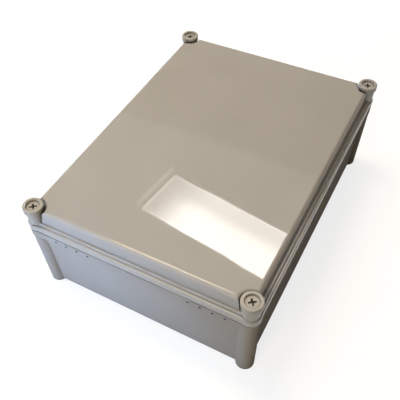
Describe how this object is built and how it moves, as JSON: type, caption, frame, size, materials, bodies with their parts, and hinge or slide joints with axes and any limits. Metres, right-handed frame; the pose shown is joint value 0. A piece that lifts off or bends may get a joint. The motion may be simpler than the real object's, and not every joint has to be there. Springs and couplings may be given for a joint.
{
  "type": "electrical enclosure",
  "caption": "Outdoor electrical enclosure: rectangular moulded plastic box with a raised flat lid held by captive screws in round corner columns, and an inner mounting plate.",
  "frame": {"origin": "middle of the footprint, on the plane of the four feet's soles", "axes": "+X along the short side, +Y along the long side, +Z from the base through the lid"},
  "size_m": [0.282, 0.382, 0.133],
  "materials": {
    "base": "light beige-grey moulded thermoplastic, satin gloss",
    "lid": "light beige-grey moulded thermoplastic, smooth and glossy",
    "lid_gasket": "foamed polyurethane seal, matt grey",
    "mounting_plate": "zinc-plated sheet steel",
    "lid_screw": "light beige-grey glass-filled polyamide, satin",
    "screw_retainer": "natural white polyacetal",
    "threaded_bush": "bright turned brass",
    "plate_screw": "zinc-plated steel"
  },
  "bodies": {
    "base": {"base": "base", "mounting_plate": "mounting_plate", "threaded_bush_front_left": "threaded_bush", "threaded_bush_front_right": "threaded_bush", "threaded_bush_back_right": "threaded_bush", "threaded_bush_back_left": "threaded_bush", "plate_screw_front_left": "plate_screw", "plate_screw_front_right": "plate_screw", "plate_screw_back_right": "plate_screw", "plate_screw_back_left": "plate_screw"},
    "lid": {"lid": "lid", "lid_gasket": "lid_gasket"},
    "retainer_front_left": {"screw_retainer_front_left": "screw_retainer"},
    "screw_front_left": {"lid_screw_front_left": "lid_screw"},
    "retainer_front_right": {"screw_retainer_front_right": "screw_retainer"},
    "screw_front_right": {"lid_screw_front_right": "lid_screw"},
    "retainer_back_right": {"screw_retainer_back_right": "screw_retainer"},
    "screw_back_right": {"lid_screw_back_right": "lid_screw"},
    "retainer_back_left": {"screw_retainer_back_left": "screw_retainer"},
    "screw_back_left": {"lid_screw_back_left": "lid_screw"}
  },
  "joints": [
    {"name": "lid_lift", "type": "slide", "parent": "base", "child": "lid", "axis": [0, 0, 1], "range_m": [0, 0.06]},
    {"name": "screw_rise_front_left", "type": "slide", "parent": "lid", "child": "retainer_front_left", "axis": [0, 0, 1], "range_m": [0, 0.014]},
    {"name": "screw_turn_front_left", "type": "hinge", "parent": "retainer_front_left", "child": "screw_front_left", "pos_m": [-0.1295, -0.1795, 0.1], "axis": [0, 0, 1], "range_deg": [0, 1681]},
    {"name": "screw_rise_front_right", "type": "slide", "parent": "lid", "child": "retainer_front_right", "axis": [0, 0, 1], "range_m": [0, 0.014]},
    {"name": "screw_turn_front_right", "type": "hinge", "parent": "retainer_front_right", "child": "screw_front_right", "pos_m": [0.1295, -0.1795, 0.1], "axis": [0, 0, 1], "range_deg": [0, 1681]},
    {"name": "screw_rise_back_right", "type": "slide", "parent": "lid", "child": "retainer_back_right", "axis": [0, 0, 1], "range_m": [0, 0.014]},
    {"name": "screw_turn_back_right", "type": "hinge", "parent": "retainer_back_right", "child": "screw_back_right", "pos_m": [0.1295, 0.1795, 0.1], "axis": [0, 0, 1], "range_deg": [0, 1681]},
    {"name": "screw_rise_back_left", "type": "slide", "parent": "lid", "child": "retainer_back_left", "axis": [0, 0, 1], "range_m": [0, 0.014]},
    {"name": "screw_turn_back_left", "type": "hinge", "parent": "retainer_back_left", "child": "screw_back_left", "pos_m": [-0.1295, 0.1795, 0.1], "axis": [0, 0, 1], "range_deg": [0, 1681]}
  ],
  "couplings": [
    {"joint": "screw_turn_front_left", "follows": "screw_rise_front_left", "rad_per_m": 2094.4},
    {"joint": "screw_turn_front_right", "follows": "screw_rise_front_right", "rad_per_m": 2094.4},
    {"joint": "screw_turn_back_right", "follows": "screw_rise_back_right", "rad_per_m": 2094.4},
    {"joint": "screw_turn_back_left", "follows": "screw_rise_back_left", "rad_per_m": 2094.4}
  ]
}
